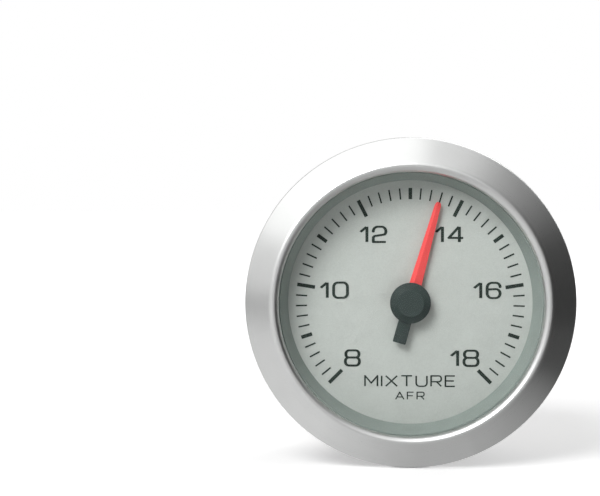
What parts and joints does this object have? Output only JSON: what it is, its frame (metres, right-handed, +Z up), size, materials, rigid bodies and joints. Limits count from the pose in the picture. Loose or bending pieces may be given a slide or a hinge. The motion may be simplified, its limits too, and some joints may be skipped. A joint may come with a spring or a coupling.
{
  "type": "air fuel ratio gauge",
  "caption": "Round panel gauge for air fuel ratio: satin bezel, grey dial with a clockwise scale, red pointer on a geared movement, rear connector and clamp bracket.",
  "frame": {"origin": "on the gauge axis, in the plane of the panel seat, which is the rear face of the bezel", "axes": "-Y out of the dial towards the viewer, +Y through the panel to the rear, +Z up the dial, +X to the right of the dial as it is read"},
  "size_m": [0.06, 0.061, 0.06],
  "materials": {
    "satin_bezel": "satin, turned",
    "clear_lens": "clear",
    "gasket_rubber": "matt",
    "visor_plastic": "matt",
    "dial_print": "matt print",
    "dial_ink": "matt ink",
    "pointer_red": "gloss",
    "hub_plastic": "satin",
    "plain_steel": "ground",
    "white_plastic": "moulded",
    "magnet": "sintered",
    "movement_nylon": "moulded",
    "copper_winding": "varnished wire",
    "board": "solder mask",
    "black_plastic": "moulded",
    "can_aluminium": "drawn",
    "zinc_plate": "zinc plated",
    "cup_plastic": "fine moulded texture",
    "pin_brass": "plated",
    "nut_brass": "turned"
  },
  "bodies": {
    "housing": {"bezel_ring": "satin_bezel", "lens": "clear_lens", "lens_gasket": "gasket_rubber", "visor_ring": "visor_plastic", "dial_plate": "dial_print", "scale_marks": "dial_ink", "movement_front_case": "movement_nylon", "movement_rear_case": "movement_nylon", "stator_yoke": "plain_steel", "stator_coils": "copper_winding", "light_guide": "white_plastic", "dial_lamps": "white_plastic", "circuit_board": "board", "driver_chip": "black_plastic", "filter_capacitors": "can_aluminium", "board_screws": "zinc_plate", "housing_cup": "cup_plastic", "socket_shell": "black_plastic", "socket_pins": "pin_brass", "mounting_studs": "zinc_plate"},
    "pointer": {"pointer_blade": "pointer_red", "pointer_cap": "hub_plastic", "pointer_counterweight": "hub_plastic", "pointer_shaft": "plain_steel", "output_wheel": "white_plastic"},
    "middle_gear": {"middle_wheel": "white_plastic"},
    "rotor": {"rotor_pinion": "plain_steel", "rotor_magnet": "magnet"},
    "clamp": {"clamp_bracket": "zinc_plate", "lock_washers": "zinc_plate"},
    "nut_left": {"thumb_nut_left": "nut_brass"},
    "nut_right": {"thumb_nut_right": "nut_brass"}
  },
  "joints": [
    {"name": "rotor_spin", "type": "hinge", "parent": "housing", "child": "rotor", "pos_m": [0.00324, 0.014, 0.00935], "axis": [0, 1, 0], "range_deg": [-27118.5, 21481]},
    {"name": "middle_gear_turn", "type": "hinge", "parent": "housing", "child": "middle_gear", "pos_m": [-0.00263, 0.012, 0.00722], "axis": [0, 1, 0], "range_deg": [-1790.2, 2260]},
    {"name": "pointer_turn", "type": "hinge", "parent": "housing", "child": "pointer", "pos_m": [0, 0.008, 0], "axis": [0, 1, 0], "range_deg": [-150.66, 119.34]},
    {"name": "clamp_slide", "type": "slide", "parent": "housing", "child": "clamp", "axis": [0, 1, 0], "range_m": [-0.004, 0.007]},
    {"name": "nut_left_turn", "type": "hinge", "parent": "clamp", "child": "nut_left", "pos_m": [-0.016, 0.0415, 0], "axis": [0, 1, 0], "range_deg": [-2057.2, 3600.1]},
    {"name": "nut_right_turn", "type": "hinge", "parent": "clamp", "child": "nut_right", "pos_m": [0.016, 0.0415, 0], "axis": [0, 1, 0], "range_deg": [-2057.2, 3600.1]}
  ],
  "couplings": [
    {"joint": "pointer_turn", "follows": "rotor_spin", "ratio": 0.0055556},
    {"joint": "middle_gear_turn", "follows": "rotor_spin", "ratio": -0.083333},
    {"joint": "nut_left_turn", "follows": "clamp_slide", "rad_per_m": 8976},
    {"joint": "nut_right_turn", "follows": "clamp_slide", "rad_per_m": 8976}
  ]
}
